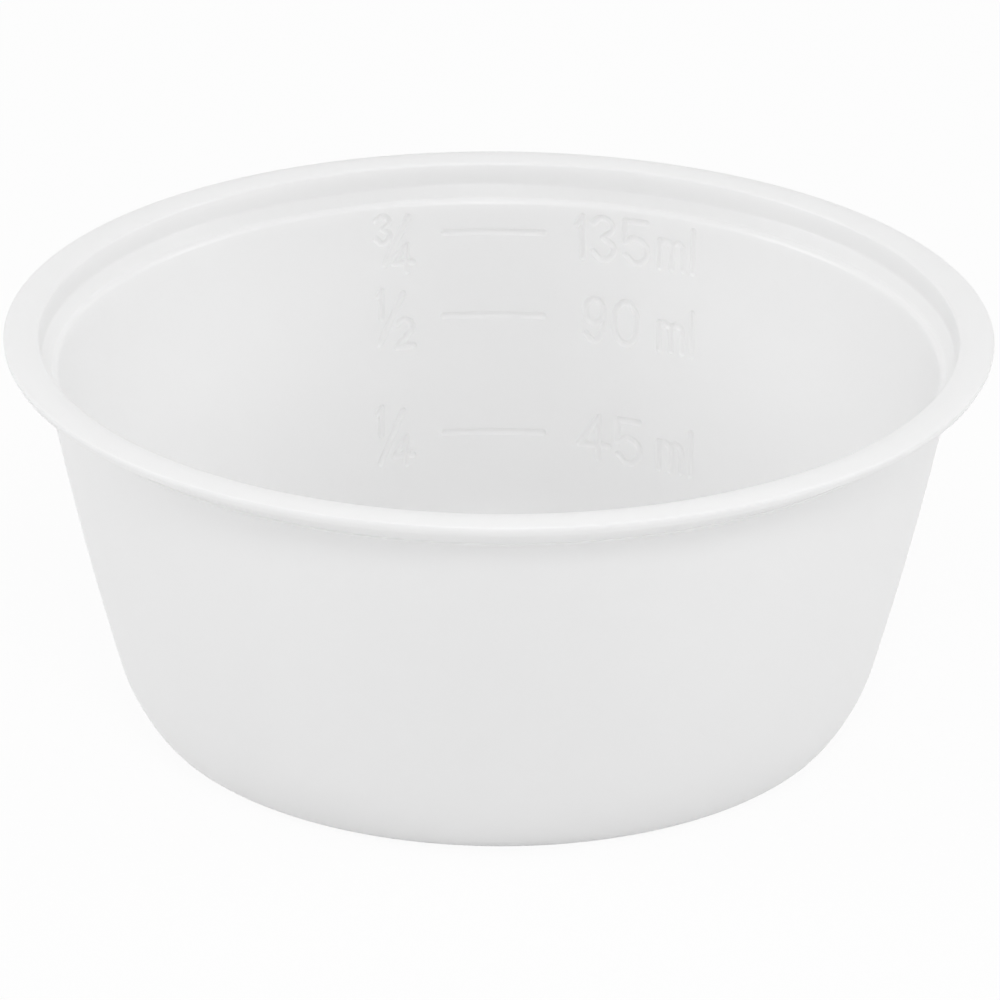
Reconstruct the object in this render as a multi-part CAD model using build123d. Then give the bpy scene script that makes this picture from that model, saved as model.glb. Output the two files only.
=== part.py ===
from build123d import *
import math
import os

# Graduated bowl for small measured amounts, moulded in one piece from natural polypropylene.
# Millimetres, +Z up. The origin is the centre of the foot, on the surface the bowl stands on.
# The graduations are inside, across the wall at +Y.

# Rim
height = 38.3
rim_radius = 46.0            # outermost edge of the flange
flange_width = 3.3           # from that edge in to the crest
lip_thickness = 1.0          # at the flange's outer edge
lip_edge_radius = 0.45
crown_height = 0.25          # how far the flange bulges above its two edges
crest_radius = 0.3           # inner edge of the flange

# Stacking collar, between the flange and the wall
collar_wall = 0.7
collar_depth = 3.43          # from the crest down to the top of the wall
collar_inset = 1.7           # from the crest in to the top of the wall
collar_face_height = 2.08    # upright face below the crest
collar_face_taper = 5.0      # degrees from upright
ledge_radius = 0.2           # inner edge where the wall meets the collar
throat_radius = 0.3          # outer corner where the wall meets the collar
knee_radius = 0.5            # where the collar turns upright
root_radius = 0.4            # outer corner between collar and flange

# Wall and base
wall = 1.2
wall_angle_top = 10.6        # degrees from upright, under the collar
wall_angle_bottom = 15.3     # degrees from upright, where the corner starts
corner_radius = 16.6         # outside, between wall and heel
heel_angle = 37.0            # degrees from upright, where the corner turns into the heel
heel_radius = 2.8            # outside, between corner and foot
foot_width = 3.0             # flat ring that the bowl stands on
recess_depth = 0.35          # the base inside the foot ring is lifted this much
recess_edge_radius = 0.15
gate_radius = 1.2            # stub of the moulding gate in the middle of the recess
gate_height = 0.15

# Graduations: grooves across the inner wall, keyed by the millilitres below them
graduation_heights = {45: 12.25, 90: 23.55, 135: 31.65}
graduation_length = 9.6
groove_width = 0.55
groove_depth = 0.2

# Worked out from the sizes above
crest_r = rim_radius - flange_width
crest_z = height - crown_height
ledge_r = crest_r - collar_inset
ledge_z = crest_z - collar_depth


def at_angle(reach, angle):
    """Offset in the section plane, at an angle below the horizontal."""
    turn = math.radians(angle)
    return Vector(reach * math.cos(turn), -reach * math.sin(turn))


def wall_arcs():
    """Centre, outer radius, first and last angle of the wall, the corner and the heel."""
    drop = math.sin(math.radians(heel_angle)) * (corner_radius - heel_radius)
    corner_centre_z = heel_radius + drop
    corner_top_z = corner_centre_z - corner_radius * math.sin(math.radians(wall_angle_bottom))
    top = Vector(ledge_r, ledge_z) + at_angle(wall, wall_angle_top)
    sweep = math.sin(math.radians(wall_angle_bottom)) - math.sin(math.radians(wall_angle_top))
    wall_radius = (top.Y - corner_top_z) / sweep
    wall_centre = top - at_angle(wall_radius, wall_angle_top)
    corner_centre = wall_centre + at_angle(wall_radius - corner_radius, wall_angle_bottom)
    heel_centre = corner_centre + at_angle(corner_radius - heel_radius, heel_angle)
    return [
        (wall_centre, wall_radius, wall_angle_top, wall_angle_bottom),
        (corner_centre, corner_radius, wall_angle_bottom, heel_angle),
        (heel_centre, heel_radius, heel_angle, 90.0),
    ]


def arc_chain(depth):
    """The wall, corner and heel from the top down, at a depth below the outer surface."""
    edges = []
    for centre, radius, first, last in wall_arcs():
        angles = (first, (first + last) / 2, last)
        edges.append(ThreePointArc(*[centre + at_angle(radius - depth, a) for a in angles]))
    return edges


def inner_radius(z):
    """Radius of the inner surface at a height between the heel and the collar."""
    for centre, radius, first, last in wall_arcs():
        reach = radius - wall
        if z >= (centre + at_angle(reach, last)).Y:
            return centre.X + math.sqrt(reach**2 - (z - centre.Y) ** 2)
    raise ValueError("height is below the wall")


def crossing(start, direction, other_start, other_direction):
    """Point where two lines of the section meet."""
    gap = other_start - start
    turn = direction.X * other_direction.Y - direction.Y * other_direction.X
    along = (gap.X * other_direction.Y - gap.Y * other_direction.X) / turn
    return start + direction * along


def collar_corners():
    """Inner and outer corners of the collar, from the wall up to the flange."""
    taper = math.radians(collar_face_taper)
    crest = Vector(crest_r, crest_z)
    ledge = Vector(ledge_r, ledge_z)
    knee = crest - Vector(math.tan(taper), 1) * collar_face_height
    slope = (knee - ledge).normalized()
    upright = (crest - knee).normalized()
    slope_out = ledge + Vector(slope.Y, -slope.X) * collar_wall
    upright_out = knee + Vector(upright.Y, -upright.X) * collar_wall
    wall_top = ledge + at_angle(wall, wall_angle_top)
    wall_run = at_angle(1, wall_angle_top - 90)
    throat = crossing(wall_top, wall_run, slope_out, slope)
    knee_out = crossing(slope_out, slope, upright_out, upright)
    underside = Vector(rim_radius, crest_z - lip_thickness)
    root = crossing(upright_out, upright, underside, Vector(-1, 0))
    return crest, knee, ledge, wall_top, throat, knee_out, root, underside


def base_lines(outer_end, inner_end):
    """The underside with its foot ring and recess, and the floor above them."""
    recess_r = outer_end.X - foot_width
    under = Polyline(
        outer_end,
        (recess_r, 0),
        (recess_r, recess_depth),
        (0, recess_depth),
    )
    floor = Polyline(
        (0, recess_depth + wall),
        (recess_r, recess_depth + wall),
        (recess_r, wall),
        inner_end,
    )
    axis = Line((0, recess_depth), (0, recess_depth + wall))
    return [under, axis, floor], recess_r


def rounded(section, corner, radius):
    """The section with one of its corners rounded."""
    vertex = section.vertices().sort_by_distance(corner)[0]
    return fillet(vertex, radius)


def section():
    """Half of the bowl's cross-section, from the axis out to the rim."""
    crest, knee, ledge, wall_top, throat, knee_out, root, underside = collar_corners()
    lip_top = Vector(rim_radius, crest_z)
    crown = Vector((crest_r + rim_radius) / 2, height)
    outer = arc_chain(0)
    inner = arc_chain(wall)
    base, recess_r = base_lines(outer[-1] @ 1, inner[-1] @ 1)
    rim = [
        Polyline(wall_top, throat, knee_out, root, underside, lip_top),
        ThreePointArc(lip_top, crown, crest),
        Polyline(crest, knee, ledge),
    ]
    shape = make_face(outer + base + inner + rim)
    corners = [
        (throat, throat_radius),
        (knee_out, knee_radius),
        (root, root_radius),
        (underside, lip_edge_radius),
        (lip_top, lip_edge_radius),
        (crest, crest_radius),
        (knee, knee_radius),
        (ledge, ledge_radius),
        (Vector(recess_r, 0), recess_edge_radius),
        (Vector(recess_r, recess_depth), recess_edge_radius),
        (Vector(recess_r, wall), recess_edge_radius),
        (Vector(recess_r, recess_depth + wall), recess_edge_radius),
    ]
    for corner, radius in corners:
        shape = rounded(shape, corner, radius)
    return shape


def gate():
    """Low round stub where the plastic entered the mould, clear of the table."""
    stub = Cylinder(gate_radius, gate_height + wall / 2, align=(Align.CENTER, Align.CENTER, Align.MIN))
    return Pos(0, 0, recess_depth - gate_height) * stub


def graduation(z):
    """A groove with a round bottom, across the inner wall at +Y."""
    bend = (groove_width**2 / 4 + groove_depth**2) / (2 * groove_depth)
    centre_r = inner_radius(z) - (bend - groove_depth)
    sweep = math.degrees(graduation_length / inner_radius(z))
    tool = Plane.XZ * Pos(centre_r, z) * Circle(bend)
    return Rot(0, 0, 90 - sweep / 2) * revolve(tool, Axis.Z, sweep)


def bowl():
    body = revolve(Plane.XZ * section(), Axis.Z)
    body += gate()
    for z in graduation_heights.values():
        body -= graduation(z)
    return body


os.makedirs("parts", exist_ok=True)
export_step(bowl(), "parts/bowl.step")
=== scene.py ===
import math

import bmesh
import bpy
from mathutils import Matrix, Vector


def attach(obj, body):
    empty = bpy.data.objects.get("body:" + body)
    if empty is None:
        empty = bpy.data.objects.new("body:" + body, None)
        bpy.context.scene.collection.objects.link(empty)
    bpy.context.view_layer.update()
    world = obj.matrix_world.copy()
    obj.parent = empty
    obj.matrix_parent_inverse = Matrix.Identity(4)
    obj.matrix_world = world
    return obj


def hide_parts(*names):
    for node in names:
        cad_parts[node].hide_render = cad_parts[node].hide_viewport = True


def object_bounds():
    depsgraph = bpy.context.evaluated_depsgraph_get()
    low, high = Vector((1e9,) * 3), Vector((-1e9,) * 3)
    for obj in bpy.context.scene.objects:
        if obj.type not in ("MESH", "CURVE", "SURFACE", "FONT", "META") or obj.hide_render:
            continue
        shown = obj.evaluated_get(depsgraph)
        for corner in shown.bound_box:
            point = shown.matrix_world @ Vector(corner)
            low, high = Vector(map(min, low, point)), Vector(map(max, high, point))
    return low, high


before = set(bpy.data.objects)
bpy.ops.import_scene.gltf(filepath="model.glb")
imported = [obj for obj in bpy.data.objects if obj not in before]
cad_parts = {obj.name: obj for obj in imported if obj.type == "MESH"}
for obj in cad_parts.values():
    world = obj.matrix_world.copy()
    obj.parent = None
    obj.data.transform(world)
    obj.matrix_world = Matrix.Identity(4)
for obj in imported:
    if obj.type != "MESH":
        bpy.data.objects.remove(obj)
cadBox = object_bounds()
print("frame loaded")

mm = 0.001

# the moulded shell in section, from the rim down: millimetres and degrees
shellShape = {
    "flangeWidth": 3.3,  # from the rim's edge in to the crest
    "lipThickness": 1.0,
    "lipLand": 0.35,  # upright flat on the lip
    "lipLean": 0.36,  # how far the lip's lower corner stands back
    "lipTopRadius": 0.15,
    "lipLandRadius": 0.3,
    "lipUnderRadius": 0.2,
    "crownHeight": 0.25,  # how far the flange bulges above its two edges
    "crownSteps": 12,
    "crestRadius": 0.3,
    "collarWall": 0.6,
    "collarDepth": 3.32,  # from the crest down to the ledge's inner edge
    "collarInset": 1.68,
    "collarFaceHeight": 2.08,  # the upright stacking face
    "collarFaceTaper": 5.0,
    "ledgeWidth": 0.6,
    "ledgeSlope": 20.0,
    "ledgeRadius": 0.6,
    "ledgeRootRadius": 0.15,
    "kneeRadius": 0.5,
    "seamDepth": 3.15,  # the low step outside, under the collar
    "seamHeight": 0.1,
    "seamRun": 0.3,
    "shoulderWidth": 0.17,
    "shoulderRise": 0.03,
    "shoulderRadius": 0.13,
    "rootRadius": 0.4,
    "wall": 1.2,
    "wallAngleTop": 10.6,  # from upright
    "wallAngleBottom": 15.3,
    "wallSteps": 36,
    "cornerRadius": 16.6,
    "cornerSteps": 12,
    "heelAngle": 37.0,
    "heelRadius": 2.8,
    "heelSteps": 8,
    "footWidth": 3.0,
    "recessDepth": 0.35,
    "recessEdgeRadius": 0.15,
    "gateRadius": 1.2,
    "gateHeight": 0.15,
    "roundSteps": 5,
    "marksAngle": 64.0,  # this side gets finer steps, so that the figures cut cleanly into it
    "marksSteps": 128,
    "otherSteps": 200,
    "mergeDistance": 0.0005,
    "sharpAngle": 30.0,
}


def rimSize():
    low, high = cadBox
    return (high.x - low.x) / 2 / mm, (high.z - low.z) / mm


def sectionPoint(reach, angle):
    # offset in the section, at an angle below the horizontal
    turn = math.radians(angle)
    return Vector((reach * math.cos(turn), 0.0, -reach * math.sin(turn)))


def wallArcs():
    # centre, outer radius, first and last angle and steps of the wall, the corner and the heel
    s = shellShape
    rimRadius, height = rimSize()
    ledgeX = rimRadius - s["flangeWidth"] - s["collarInset"]
    ledgeZ = height - s["crownHeight"] - s["collarDepth"]
    top = Vector((ledgeX, 0.0, ledgeZ)) + sectionPoint(s["wall"], s["wallAngleTop"])
    topSine = math.sin(math.radians(s["wallAngleTop"]))
    bottomSine = math.sin(math.radians(s["wallAngleBottom"]))
    heelSine = math.sin(math.radians(s["heelAngle"]))
    cornerZ = s["heelRadius"] + heelSine * (s["cornerRadius"] - s["heelRadius"])
    cornerTop = cornerZ - s["cornerRadius"] * bottomSine
    wallRadius = (top.z - cornerTop) / (bottomSine - topSine)
    wallCentre = top - sectionPoint(wallRadius, s["wallAngleTop"])
    cornerCentre = wallCentre + sectionPoint(wallRadius - s["cornerRadius"], s["wallAngleBottom"])
    heelCentre = cornerCentre + sectionPoint(s["cornerRadius"] - s["heelRadius"], s["heelAngle"])
    return [
        (wallCentre, wallRadius, s["wallAngleTop"], s["wallAngleBottom"], s["wallSteps"]),
        (cornerCentre, s["cornerRadius"], s["wallAngleBottom"], s["heelAngle"], s["cornerSteps"]),
        (heelCentre, s["heelRadius"], s["heelAngle"], 90.0, s["heelSteps"]),
    ]


def innerRadius(z):
    for centre, radius, first, last, steps in wallArcs():
        reach = radius - shellShape["wall"]
        if z >= (centre + sectionPoint(reach, last)).z:
            return centre.x + math.sqrt(reach ** 2 - (z - centre.z) ** 2)


def crossing(start, direction, otherStart, otherDirection):
    # where two lines of the section meet
    gap = otherStart - start
    turn = direction.x * otherDirection.z - direction.z * otherDirection.x
    along = (gap.x * otherDirection.z - gap.z * otherDirection.x) / turn
    return start + direction * along


def swing(bm, start, centre, degrees, steps):
    # an arc of the section: a vertex spun about the arc's centre
    made = bmesh.ops.spin(bm, geom=[start], cent=centre, axis=(0, 1, 0),
                          angle=math.radians(degrees), steps=steps)
    return next(v for v in made["geom_last"] if isinstance(v, bmesh.types.BMVert))


def line(bm, start, target):
    end = bm.verts.new(target)
    bm.edges.new((start, end))
    return end


def roundCorner(bm, vert, radius):
    a, b = [(e.other_vert(vert).co - vert.co).normalized() for e in vert.link_edges]
    turn = math.pi - a.angle(b)
    bmesh.ops.bevel(bm, geom=[vert], offset=radius * math.tan(turn / 2), offset_type="OFFSET",
                    affect="VERTICES", segments=shellShape["roundSteps"], profile=0.5, material=-1)


def shellSection(bm):
    # half of the section as one line, from the middle of the underside round to the middle of the floor
    s = shellShape
    rimRadius, height = rimSize()
    crestX = rimRadius - s["flangeWidth"]
    crestZ = height - s["crownHeight"]
    taper = math.radians(s["collarFaceTaper"])
    ledgeRise = math.tan(math.radians(s["ledgeSlope"]))
    crestPoint = Vector((crestX, 0, crestZ))
    ledgePoint = Vector((crestX - s["collarInset"], 0, crestZ - s["collarDepth"]))
    kneePoint = crestPoint - Vector((math.tan(taper), 0, 1)) * s["collarFaceHeight"]
    ledgeRootPoint = ledgePoint + Vector((1, 0, ledgeRise)) * s["ledgeWidth"]
    slope = (kneePoint - ledgeRootPoint).normalized()
    upright = (crestPoint - kneePoint).normalized()
    uprightOut = kneePoint + Vector((upright.z, 0, -upright.x)) * s["collarWall"]
    wallTop = ledgePoint + sectionPoint(s["wall"], s["wallAngleTop"])
    wallRun = sectionPoint(1, s["wallAngleTop"] - 90)
    seamPoint = wallTop + wallRun * ((crestZ - s["seamDepth"] - wallTop.z) / wallRun.z)
    shoulderPoint = seamPoint + Vector((s["seamHeight"], 0, 0))
    footPoint = shoulderPoint + Vector((-s["shoulderWidth"], 0, s["shoulderRise"]))
    kneeOutPoint = crossing(footPoint, slope, uprightOut, upright)
    underPoint = Vector((rimRadius - s["lipLean"], 0, crestZ - s["lipThickness"]))
    rootPoint = crossing(uprightOut, upright, underPoint, Vector((-1, 0, 0)))
    lipPoint = Vector((rimRadius, 0, crestZ))
    arcs = wallArcs()
    heelX = arcs[-1][0].x
    recessX = heelX - s["footWidth"]
    gateZ = s["recessDepth"] - s["gateHeight"]
    floorZ = s["recessDepth"] + s["wall"]
    halfFlange = s["flangeWidth"] / 2
    crownRadius = (halfFlange ** 2 + s["crownHeight"] ** 2) / (2 * s["crownHeight"])
    crownCentre = Vector((rimRadius - halfFlange, 0, height - crownRadius))
    crownAngle = 2 * math.degrees(math.asin(halfFlange / crownRadius))

    gateMiddle = bm.verts.new((0, 0, gateZ))
    gateEdge = line(bm, gateMiddle, (s["gateRadius"], 0, gateZ))
    gateRoot = line(bm, gateEdge, (s["gateRadius"], 0, s["recessDepth"]))
    recessTop = line(bm, gateRoot, (recessX, 0, s["recessDepth"]))
    recessFoot = line(bm, recessTop, (recessX, 0, 0))
    end = line(bm, recessFoot, (heelX, 0, 0))
    for centre, radius, first, last, steps in reversed(arcs):
        end = swing(bm, end, centre, first - last, steps)
    runOut = line(bm, end, seamPoint - wallRun * s["seamRun"])
    shoulder = line(bm, runOut, shoulderPoint)
    foot = line(bm, shoulder, footPoint)
    kneeOut = line(bm, foot, kneeOutPoint)
    root = line(bm, kneeOut, rootPoint)
    lipUnder = line(bm, root, underPoint)
    lipFoot = line(bm, lipUnder, lipPoint - Vector((0, 0, s["lipLand"])))
    lipTop = line(bm, lipFoot, lipPoint)
    crest = swing(bm, lipTop, crownCentre, -crownAngle, s["crownSteps"])
    knee = line(bm, crest, kneePoint)
    ledgeRoot = line(bm, knee, ledgeRootPoint)
    ledge = line(bm, ledgeRoot, ledgePoint)
    end = ledge
    for centre, radius, first, last, steps in arcs:
        end = swing(bm, end, centre, last - first, steps)
    floorEdge = line(bm, end, (recessX, 0, s["wall"]))
    floorTop = line(bm, floorEdge, (recessX, 0, floorZ))
    line(bm, floorTop, (0, 0, floorZ))
    corners = [
        (runOut, s["shoulderRadius"]),
        (shoulder, s["shoulderRadius"]),
        (kneeOut, s["kneeRadius"]),
        (root, s["rootRadius"]),
        (lipUnder, s["lipUnderRadius"]),
        (lipFoot, s["lipLandRadius"]),
        (lipTop, s["lipTopRadius"]),
        (crest, s["crestRadius"]),
        (knee, s["kneeRadius"]),
        (ledgeRoot, s["ledgeRootRadius"]),
        (ledge, s["ledgeRadius"]),
        (recessTop, s["recessEdgeRadius"]),
        (recessFoot, s["recessEdgeRadius"]),
        (floorEdge, s["recessEdgeRadius"]),
        (floorTop, s["recessEdgeRadius"]),
    ]
    for vert, radius in corners:
        roundCorner(bm, vert, radius)


def makeShell():
    # the section spun round in two parts: the marks' side, then the rest
    s = shellShape
    bm = bmesh.new()
    shellSection(bm)
    bmesh.ops.scale(bm, vec=(mm, mm, mm), verts=bm.verts)
    marksAngle = math.radians(s["marksAngle"])
    toMarks = Matrix.Rotation(math.pi / 2 - marksAngle / 2, 3, "Z")
    bmesh.ops.rotate(bm, cent=(0, 0, 0), matrix=toMarks, verts=bm.verts)
    fine = bmesh.ops.spin(bm, geom=bm.verts[:] + bm.edges[:], cent=(0, 0, 0), axis=(0, 0, 1),
                          angle=marksAngle, steps=s["marksSteps"])
    bmesh.ops.spin(bm, geom=fine["geom_last"], cent=(0, 0, 0), axis=(0, 0, 1),
                   angle=math.tau - marksAngle, steps=s["otherSteps"])
    bmesh.ops.remove_doubles(bm, verts=bm.verts, dist=s["mergeDistance"] * mm)
    bmesh.ops.recalc_face_normals(bm, faces=bm.faces)
    mesh = bpy.data.meshes.new("bowlShell")
    bm.to_mesh(mesh)
    bm.free()
    shell = bpy.data.objects.new("bowlShell", mesh)
    bpy.context.scene.collection.objects.link(shell)
    print("shell:", len(mesh.polygons), "faces")
    return shell


# graduations round the inside of the wall: x runs to the right of the marks' middle, y is the height
markRows = [
    {
        "height": 31.75,
        "words": [("135", 8.75, 29.58), ("ml", 16.65, 29.58)],
        "over": ("3", -11.7, 31.13),
        "slash": (-8.5, 33.5, -10.75, 29.0),
        "under": ("4", -9.85, 28.2),
    },
    {
        "height": 23.65,
        "words": [("90", 9.1, 21.66), ("ml", 16.67, 21.66)],
        "over": ("1", -11.15, 23.95),
        "slash": (-8.95, 26.1, -11.3, 21.35),
        "under": ("2", -9.55, 20.95),
    },
    {
        "height": 12.37,
        "words": [("45", 8.53, 10.3), ("ml", 16.77, 10.3)],
        "over": ("1", -11.15, 12.65),
        "slash": (-8.95, 14.75, -11.25, 9.9),
        "under": ("4", -9.85, 9.6),
    },
]

markShape = {
    "barLength": 9.8,
    "figureHeight": 4.02,
    "fractionHeight": 2.6,
    "grooveWidth": 0.66,
    "grooveDepth": 0.2,
    "tubeResolution": 5,
    "endAngles": (20, 40, 60, 75, 86),  # rings of a stroke's round end
    "curveSteps": 8,
    "straightStep": 0.8,
    "weld": 0.0005,
}

# each stroke is straight or smooth through its points, in heights of the figure
figures = {
    "0": [("ring", [(0.28, 1.0), (0.06, 0.83), (0.0, 0.5), (0.06, 0.17), (0.28, 0.0),
                    (0.5, 0.17), (0.56, 0.5), (0.5, 0.83)])],
    "1": [("straight", [(-0.14, 0.79), (0.0, 1.0), (0.0, 0.0)])],
    "2": [("smooth", [(0.02, 0.83), (0.28, 1.0), (0.58, 0.77), (0.38, 0.4), (0.0, 0.0)]),
          ("straight", [(0.0, 0.0), (0.64, 0.0)])],
    "3": [("smooth", [(0.0, 0.86), (0.25, 1.0), (0.5, 0.78), (0.26, 0.53)]),
          ("smooth", [(0.26, 0.53), (0.54, 0.26), (0.27, 0.0), (0.01, 0.18)])],
    "4": [("straight", [(0.49, 1.0), (0.0, 0.335), (0.73, 0.335)]),
          ("straight", [(0.49, 1.0), (0.49, 0.0)])],
    "5": [("straight", [(0.56, 1.0), (0.02, 1.0), (0.0, 0.49)]),
          ("smooth", [(0.0, 0.49), (0.28, 0.6), (0.59, 0.3), (0.3, 0.0), (0.03, 0.18)])],
    "9": [("ring", [(0.21, 1.0), (0.0, 0.705), (0.2, 0.42), (0.45, 0.705)]),
          ("smooth", [(0.45, 0.705), (0.44, 0.33), (0.22, 0.0), (0.0, 0.17)])],
    "m": [("straight", [(0.0, 0.64), (0.0, 0.0)]),
          ("smooth", [(0.0, 0.46), (0.04, 0.58), (0.155, 0.64), (0.27, 0.58), (0.31, 0.46), (0.31, 0.0)]),
          ("smooth", [(0.31, 0.46), (0.35, 0.58), (0.465, 0.64), (0.58, 0.58), (0.62, 0.46), (0.62, 0.0)])],
    "l": [("straight", [(0.0, 1.0), (0.0, 0.0)])],
}

# where each figure of a word starts, in heights of the figure
figureStart = {
    "135": (0.0, 0.25, 1.05),
    "90": (0.0, 0.735),
    "45": (0.0, 0.96),
    "ml": (0.0, 0.88),
}


def finishedMesh(piece):
    bpy.context.view_layer.update()
    return bpy.data.meshes.new_from_object(piece.evaluated_get(bpy.context.evaluated_depsgraph_get()))


def curveMesh(curve):
    holder = bpy.data.objects.new(curve.name, curve)
    bpy.context.scene.collection.objects.link(holder)
    mesh = finishedMesh(holder)
    bpy.data.objects.remove(holder)
    return mesh


def smoothLine(points, closed):
    # a Bezier line with automatic handles, read back as points
    curve = bpy.data.curves.new("line", "CURVE")
    curve.dimensions = "3D"
    curve.resolution_u = markShape["curveSteps"]
    spline = curve.splines.new("BEZIER")
    spline.bezier_points.add(len(points) - 1)
    for point, (x, y) in zip(spline.bezier_points, points):
        point.co = (x, y, 0)
        point.handle_left_type = "AUTO"
        point.handle_right_type = "AUTO"
    spline.use_cyclic_u = closed
    mesh = curveMesh(curve)
    found = [v.co.copy() for v in mesh.vertices]
    bpy.data.meshes.remove(mesh)
    return found


def straightLine(start, end):
    steps = math.ceil(math.dist(start, end) / markShape["straightStep"])
    a = Vector((*start, 0))
    b = Vector((*end, 0))
    return [a.lerp(b, i / steps) for i in range(steps + 1)]


def strokeStations(points, closed, radius):
    # the points of a stroke and the share of the tube's radius at each, with round ends
    stations = [(point, 1.0) for point in points]
    if closed:
        return stations
    first = (points[0] - points[1]).normalized()
    last = (points[-1] - points[-2]).normalized()
    turns = [math.radians(a) for a in markShape["endAngles"]]
    caps = [(math.sin(a) * radius, math.cos(a)) for a in turns]
    head = [(points[0] + first * out, share) for out, share in reversed(caps)]
    tail = [(points[-1] + last * out, share) for out, share in caps]
    return head + stations + tail


def bendToWall(bm):
    # x goes round the wall, y up it, and z out into it
    for vert in bm.verts:
        x, y, depth = vert.co
        wallRadius = innerRadius(y)
        angle = math.pi / 2 - x / wallRadius
        reach = wallRadius + depth
        vert.co = Vector((reach * math.cos(angle), reach * math.sin(angle), y)) * mm
    bmesh.ops.reverse_faces(bm, faces=bm.faces)  # the bend turned them inside out


def grooveTube(points, closed):
    # one stroke of the marks as a round tube, sunk into the wall by the groove's depth
    m = markShape
    radius = (m["grooveWidth"] ** 2 / 4 + m["grooveDepth"] ** 2) / (2 * m["grooveDepth"])
    stations = strokeStations(points, closed, radius)
    curve = bpy.data.curves.new("stroke", "CURVE")
    curve.dimensions = "3D"
    curve.fill_mode = "FULL"
    curve.bevel_depth = radius
    curve.bevel_resolution = m["tubeResolution"]
    curve.use_fill_caps = not closed
    spline = curve.splines.new("POLY")
    spline.points.add(len(stations) - 1)
    for point, (spot, share) in zip(spline.points, stations):
        point.co = (*spot, 1)
        point.radius = share
    spline.use_cyclic_u = closed
    mesh = curveMesh(curve)
    bm = bmesh.new()
    bm.from_mesh(mesh)
    bmesh.ops.remove_doubles(bm, verts=bm.verts, dist=m["weld"])
    bmesh.ops.translate(bm, verts=bm.verts, vec=(0, 0, m["grooveDepth"] - radius))
    bendToWall(bm)
    bm.to_mesh(mesh)
    bm.free()
    tube = bpy.data.objects.new("stroke", mesh)
    bpy.context.scene.collection.objects.link(tube)
    return tube


def figureStrokes(figure, x, y, size):
    return [(kind, [(x + px * size, y + py * size) for px, py in points])
            for kind, points in figures[figure]]


def rowStrokes(row):
    # the bar, the figures and the fraction of one graduation
    m = markShape
    half = m["barLength"] / 2
    strokes = [("straight", [(-half, row["height"]), (half, row["height"])])]
    for word, x, y in row["words"]:
        for figure, start in zip(word, figureStart[word]):
            strokes += figureStrokes(figure, x + start * m["figureHeight"], y, m["figureHeight"])
    for figure, x, y in (row["over"], row["under"]):
        strokes += figureStrokes(figure, x, y, m["fractionHeight"])
    x0, y0, x1, y1 = row["slash"]
    strokes.append(("straight", [(x0, y0), (x1, y1)]))
    return strokes


def strokeTubes(kind, points):
    if kind == "straight":
        return [grooveTube(straightLine(*leg), False) for leg in zip(points, points[1:])]
    closed = kind == "ring"
    return [grooveTube(smoothLine(points, closed), closed)]


def joinOrCut(piece, others, operation):
    for other in others:
        step = piece.modifiers.new(operation, "BOOLEAN")
        step.operation = operation
        step.solver = "MANIFOLD"
        step.object = other
    mesh = finishedMesh(piece)
    piece.modifiers.clear()
    piece.data = mesh
    for other in others:
        bpy.data.objects.remove(other)


def cutMarks(shell):
    # all grooves are joined to one cutter and taken out of the inside of the wall at +Y
    tubes = []
    for row in markRows:
        for kind, points in rowStrokes(row):
            tubes += strokeTubes(kind, points)
    cutter = tubes[0]
    joinOrCut(cutter, tubes[1:], "UNION")
    print("marks cutter:", len(tubes), "strokes,", len(cutter.data.polygons), "faces")
    joinOrCut(shell, [cutter], "DIFFERENCE")
    mesh = shell.data
    mesh.polygons.foreach_set("use_smooth", [True] * len(mesh.polygons))
    mesh.set_sharp_from_angle(angle=math.radians(shellShape["sharpAngle"]))
    print("bowl with marks:", len(mesh.polygons), "faces")


# milky polypropylene: light scatters through the thin wall, and the gloss fades towards the outline
plastic = {
    "color": (0.88, 0.88, 0.88, 1.0),
    "ior": 1.49,
    "scatterWeight": 1.0,
    "scatterRadius": (1.0, 1.0, 1.0),
    "scatterScale": 0.0022,
    "cloudScale": 60.0,
    "cloudDetail": 4.0,
    "roughness": (0.3, 0.36),
    "outlineBlend": 0.5,
    "outlineRange": (0.35, 0.75),
    "gloss": (0.5, 0.05),
    "grain": 0.05,
    "grainScale": 2500.0,
    "grainDetail": 2.0,
    "grainHeight": 0.00002,
}


def addNoise(nodes, links, place, scale, detail):
    noise = nodes.new("ShaderNodeTexNoise")
    noise.inputs["Scale"].default_value = scale
    noise.inputs["Detail"].default_value = detail
    links.new(place.outputs["Object"], noise.inputs["Vector"])
    return noise.outputs["Fac"]


def addRange(nodes, links, value, source, target):
    ramp = nodes.new("ShaderNodeMapRange")
    ramp.inputs["From Min"].default_value = source[0]
    ramp.inputs["From Max"].default_value = source[1]
    ramp.inputs["To Min"].default_value = target[0]
    ramp.inputs["To Max"].default_value = target[1]
    links.new(value, ramp.inputs["Value"])
    return ramp.outputs["Result"]


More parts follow.
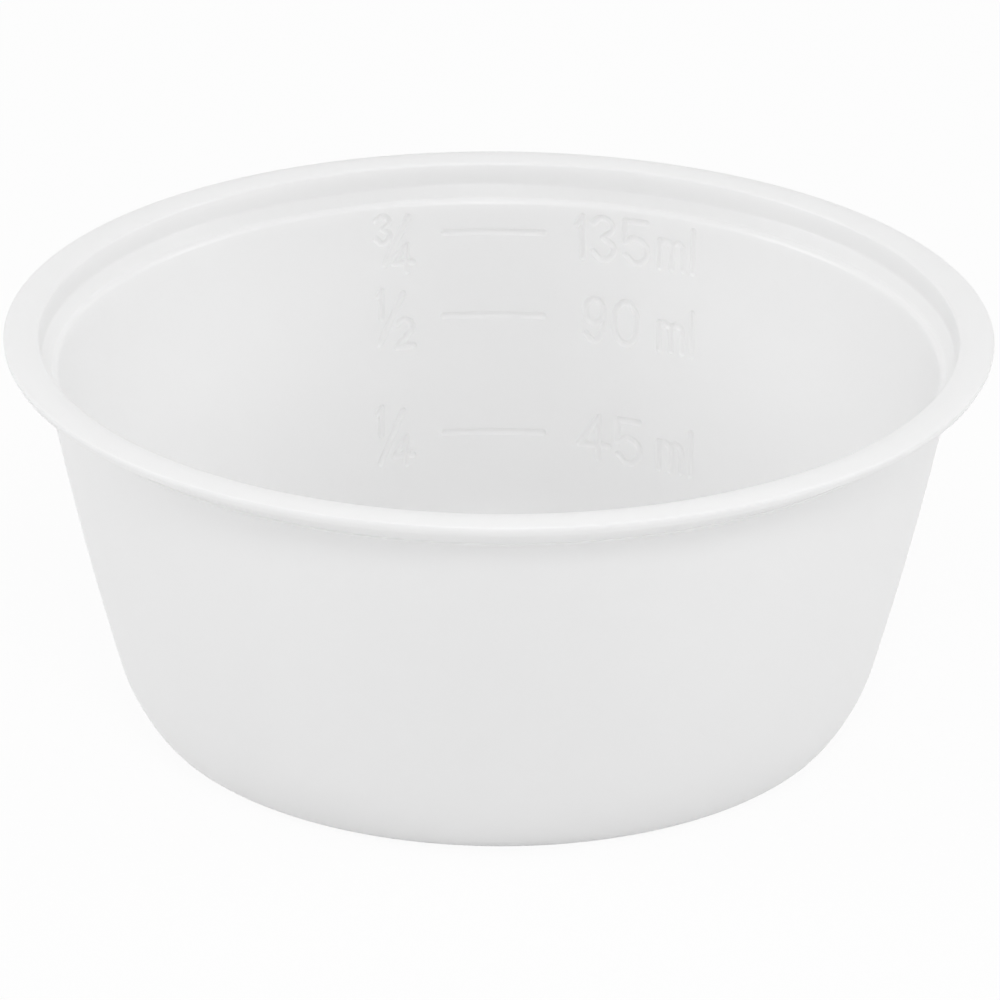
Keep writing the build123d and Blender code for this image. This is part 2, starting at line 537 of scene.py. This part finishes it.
def plasticMaterial():
    p = plastic
    material = bpy.data.materials.new("milkyPolypropylene")
    material.use_nodes = True
    nodes = material.node_tree.nodes
    links = material.node_tree.links
    shader = nodes["Principled BSDF"]
    shader.inputs["Base Color"].default_value = p["color"]
    shader.inputs["IOR"].default_value = p["ior"]
    shader.inputs["Subsurface Weight"].default_value = p["scatterWeight"]
    shader.inputs["Subsurface Radius"].default_value = p["scatterRadius"]
    shader.inputs["Subsurface Scale"].default_value = p["scatterScale"]
    place = nodes.new("ShaderNodeTexCoord")
    cloud = addNoise(nodes, links, place, p["cloudScale"], p["cloudDetail"])
    links.new(addRange(nodes, links, cloud, (0.0, 1.0), p["roughness"]), shader.inputs["Roughness"])
    outline = nodes.new("ShaderNodeLayerWeight")
    outline.inputs["Blend"].default_value = p["outlineBlend"]
    gloss = addRange(nodes, links, outline.outputs["Facing"], p["outlineRange"], p["gloss"])
    links.new(gloss, shader.inputs["Specular IOR Level"])
    bump = nodes.new("ShaderNodeBump")
    bump.inputs["Strength"].default_value = p["grain"]
    bump.inputs["Distance"].default_value = p["grainHeight"]
    grain = addNoise(nodes, links, place, p["grainScale"], p["grainDetail"])
    links.new(grain, bump.inputs["Height"])
    links.new(bump.outputs["Normal"], shader.inputs["Normal"])
    print("plastic: ready")
    return material


# a bright plain room: soft lamps as name, place, size and watts
studio = {
    "worldStrength": 0.55,
    "white": (1.0, 1.0, 1.0, 1.0),
    "floorColor": (0.88, 0.88, 0.88, 1.0),
    "floorRoughness": 0.8,
    "floorGloss": 0.0,
    "floorSize": 3.0,
    "floorDrop": 0.00002,  # clear of the foot, so that the two faces never share a plane
    "floorSeenWhite": 0.93,
    "lamps": [
        ("frontSoftbox", (0.05, -0.5, 0.5), (0.2, 0.14), 0.92),
        ("lowSoftbox", (0.03, -0.68, 0.26), (0.3, 0.12), 0.25),
        ("leftSoftbox", (-0.7, 0.0, 0.35), (0.3, 0.3), 1.04),
        ("rightSoftbox", (0.7, 0.0, 0.35), (0.3, 0.3), 0.94),
        ("topSoftbox", (0.0, 0.1, 0.75), (0.5, 0.5), 0.38),
    ],
}


def largerOf(nodes, links, a, b):
    larger = nodes.new("ShaderNodeMath")
    larger.operation = "MAXIMUM"
    links.new(a, larger.inputs[0])
    links.new(b, larger.inputs[1])
    return larger.outputs[0]


def seenWhite(nodes, links, shade, share, whiteKind):
    # camera, glossy and transmission rays see this share of plain white mixed into the surface
    path = nodes.new("ShaderNodeLightPath").outputs
    seen = largerOf(nodes, links, path["Is Camera Ray"], path["Is Glossy Ray"])
    seen = largerOf(nodes, links, seen, path["Is Transmission Ray"])
    part = nodes.new("ShaderNodeMath")
    part.operation = "MULTIPLY"
    part.inputs[1].default_value = share
    links.new(seen, part.inputs[0])
    white = nodes.new(whiteKind)
    white.inputs["Color"].default_value = studio["white"]
    mix = nodes.new("ShaderNodeMixShader")
    links.new(part.outputs[0], mix.inputs["Fac"])
    links.new(shade, mix.inputs[1])
    links.new(white.outputs[0], mix.inputs[2])
    return mix.outputs[0]


def makeWorld():
    world = bpy.data.worlds.new("studio")
    bpy.context.scene.world = world
    world.use_nodes = True
    nodes = world.node_tree.nodes
    links = world.node_tree.links
    background = nodes["Background"]
    background.inputs["Color"].default_value = studio["white"]
    background.inputs["Strength"].default_value = studio["worldStrength"]
    seen = seenWhite(nodes, links, background.outputs[0], 1.0, "ShaderNodeBackground")
    links.new(seen, nodes["World Output"].inputs["Surface"])


def floorMaterial():
    material = bpy.data.materials.new("paleFloor")
    material.use_nodes = True
    nodes = material.node_tree.nodes
    links = material.node_tree.links
    shader = nodes["Principled BSDF"]
    shader.inputs["Base Color"].default_value = studio["floorColor"]
    shader.inputs["Roughness"].default_value = studio["floorRoughness"]
    shader.inputs["Specular IOR Level"].default_value = studio["floorGloss"]
    seen = seenWhite(nodes, links, shader.outputs[0], studio["floorSeenWhite"], "ShaderNodeEmission")
    links.new(seen, nodes["Material Output"].inputs["Surface"])
    return material


def makeFloor():
    bm = bmesh.new()
    bmesh.ops.create_grid(bm, x_segments=1, y_segments=1, size=studio["floorSize"])
    bmesh.ops.translate(bm, verts=bm.verts, vec=(0, 0, -studio["floorDrop"]))
    mesh = bpy.data.meshes.new("floor")
    bm.to_mesh(mesh)
    bm.free()
    floor = bpy.data.objects.new("floor", mesh)
    bpy.context.scene.collection.objects.link(floor)
    floor.data.materials.append(floorMaterial())


def makeLamps():
    # every lamp faces the bowl
    for name, spot, size, power in studio["lamps"]:
        lamp = bpy.data.lights.new(name, "AREA")
        lamp.shape = "RECTANGLE"
        lamp.size, lamp.size_y = size
        lamp.energy = power
        holder = bpy.data.objects.new(name, lamp)
        holder.location = spot
        holder.rotation_mode = "QUATERNION"
        holder.rotation_quaternion = Vector(spot).to_track_quat("Z", "Y")
        bpy.context.scene.collection.objects.link(holder)


def makeStudio():
    bpy.context.scene.view_settings.view_transform = "Standard"
    makeWorld()
    makeFloor()
    makeLamps()
    print("studio:", len(studio["lamps"]), "lamps")


# the photo's view, fitted to the rim, the wall and the foot; it aims near the middle of the rim
cameraPose = {
    "azimuth": -0.85,
    "elevation": 23.56,
    "roll": 0.4,
    "distance": 0.736,
    "lens": 285.1,
    "sensor": 36,
    "farClip": 10,
    "aimRight": 0.0002,
    "aimUp": -0.0161,
}


def placeCamera():
    c = cameraPose
    azimuth = math.radians(c["azimuth"])
    elevation = math.radians(c["elevation"])
    back = Vector((math.sin(azimuth) * math.cos(elevation), -math.cos(azimuth) * math.cos(elevation),
                   math.sin(elevation)))
    level = Vector((math.cos(azimuth), math.sin(azimuth), 0))
    above = back.cross(level)
    aim = Vector((0, 0, cadBox[1].z)) + level * c["aimRight"] + above * c["aimUp"]
    roll = Matrix.Rotation(math.radians(c["roll"]), 3, back)
    camera = bpy.data.objects.new("camera", bpy.data.cameras.new("camera"))
    camera.data.lens = c["lens"]
    camera.data.sensor_width = c["sensor"]
    camera.data.clip_end = c["farClip"]
    turn = Matrix((roll @ level, roll @ above, back)).transposed().to_4x4()
    camera.matrix_world = Matrix.Translation(aim + back * c["distance"]) @ turn
    bpy.context.scene.collection.objects.link(camera)
    bpy.context.scene.camera = camera
    print("camera: placed")


shell = makeShell()
cutMarks(shell)
shell.data.materials.clear()
shell.data.materials.append(plasticMaterial())
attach(shell, "root")
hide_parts("bowl")
makeStudio()
placeCamera()
